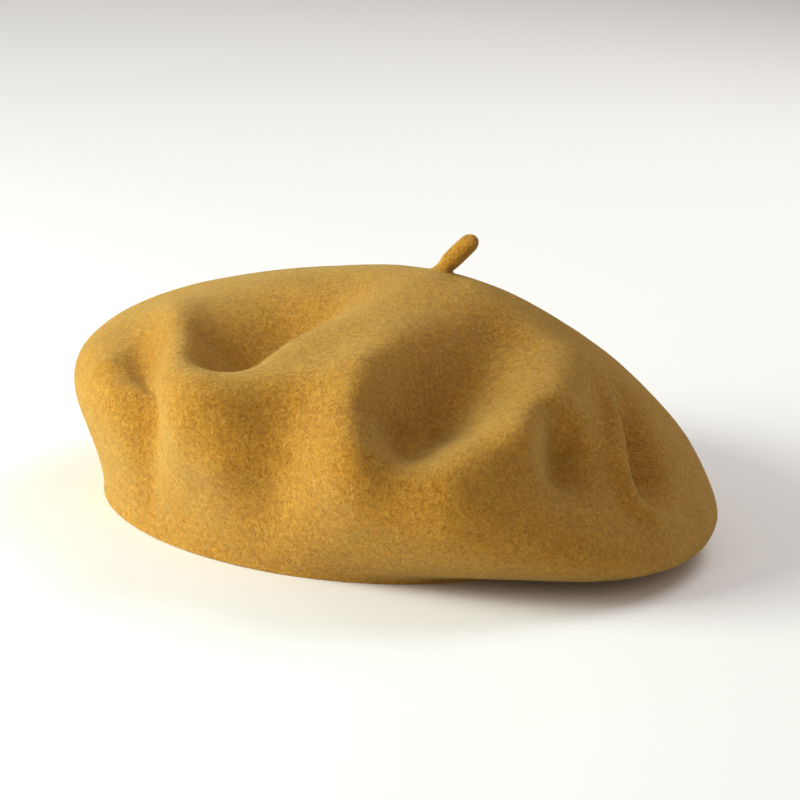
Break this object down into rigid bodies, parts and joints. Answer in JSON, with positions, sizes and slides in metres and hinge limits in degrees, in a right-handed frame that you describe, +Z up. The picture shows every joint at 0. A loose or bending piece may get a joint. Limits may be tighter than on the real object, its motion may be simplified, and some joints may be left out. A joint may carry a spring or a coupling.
{
  "type": "beret",
  "caption": "Soft wool felt beret worn pulled over to one side, with a short leaning stem on top of the crown and a ribbon sweatband inside the head opening.",
  "frame": {"origin": "centre of the head opening, on the plane that the felt's edge stands on", "axes": "+Z up through the crown, +X the way the crown hangs over, +Y towards the back, where the labels are"},
  "size_m": [0.2455, 0.2224, 0.1055],
  "materials": {
    "felt": "matt fulled wool felt with a fine short nap",
    "stem_felt": "matt fulled wool felt",
    "ribbon": "ribbed grosgrain ribbon with a slight sheen",
    "thread": "spun thread",
    "label_tape": "smooth woven tape"
  },
  "bodies": {
    "hat": {"felt_shell": "felt", "stem_root": "stem_felt", "stem_tack_stitches": "thread", "sweatband": "ribbon", "band_hem_stitches": "thread", "band_join_stitches": "thread", "size_label": "label_tape", "size_label_stitches": "thread", "care_label_stitches": "thread"},
    "stem_lower": {"stem_lower": "stem_felt"},
    "stem_upper": {"stem_upper": "stem_felt"},
    "care_label": {"care_label": "label_tape"}
  },
  "joints": [
    {"name": "stem_lean", "type": "hinge", "parent": "hat", "child": "stem_lower", "pos_m": [0.03089, 0.01, 0.09445], "axis": [0, 1, 0], "range_deg": [-30, 30], "stiffness_Nm_per_rad": 0.002},
    {"name": "stem_sway", "type": "hinge", "parent": "stem_lower", "child": "stem_upper", "pos_m": [0.03539, 0.01, 0.09981], "axis": [0.766, 0, -0.6428], "range_deg": [-30, 30], "stiffness_Nm_per_rad": 0.002},
    {"name": "care_label_flip", "type": "hinge", "parent": "hat", "child": "care_label", "pos_m": [0.014, 0.10346, 0.042], "axis": [-0.9971, 0.0755, 0], "range_deg": [0, 120]}
  ]
}
